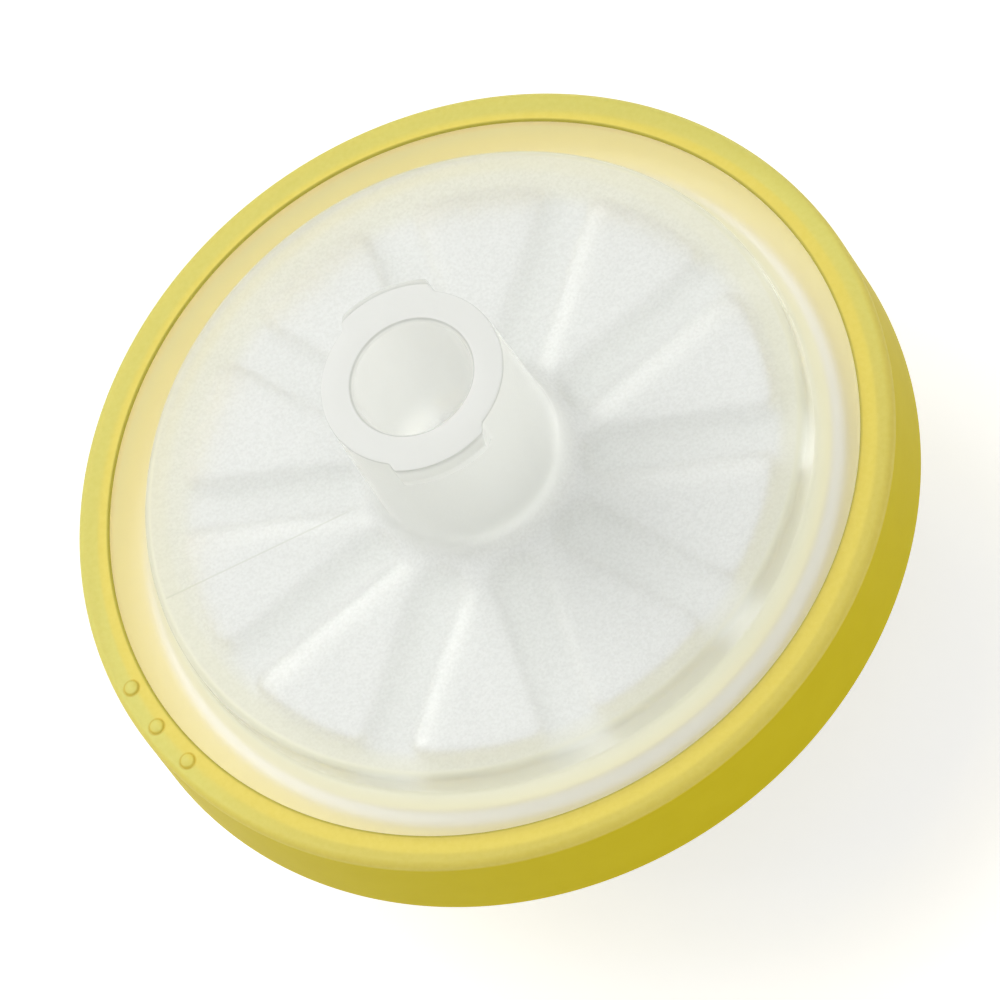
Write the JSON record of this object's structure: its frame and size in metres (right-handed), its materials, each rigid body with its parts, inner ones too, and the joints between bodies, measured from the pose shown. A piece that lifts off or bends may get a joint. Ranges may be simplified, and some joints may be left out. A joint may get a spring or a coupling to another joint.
{
  "type": "syringe filter",
  "caption": "Disc-shaped syringe filter with a lugged conical inlet socket, a conical outlet tip, a clear ribbed housing and a coloured rim.",
  "frame": {"origin": "centre of the outlet tip's end, at the middle of the bottom of the part's box", "axes": "+Z along the part's axis, from the outlet tip up to the inlet, against the flow; the inlet's two lugs lie along +Y and -Y"},
  "size_m": [0.0298, 0.0298, 0.0195],
  "materials": {
    "clear_housing": "clear to slightly milky moulded polypropylene, glossy",
    "membrane": "matt white porous sheet",
    "coloured_ring": "translucent yellow moulded polypropylene, satin"
  },
  "bodies": {
    "root": {"inlet_housing": "clear_housing", "outlet_housing": "clear_housing", "filter_membrane": "membrane", "overmould_ring": "coloured_ring"}
  },
  "joints": []
}
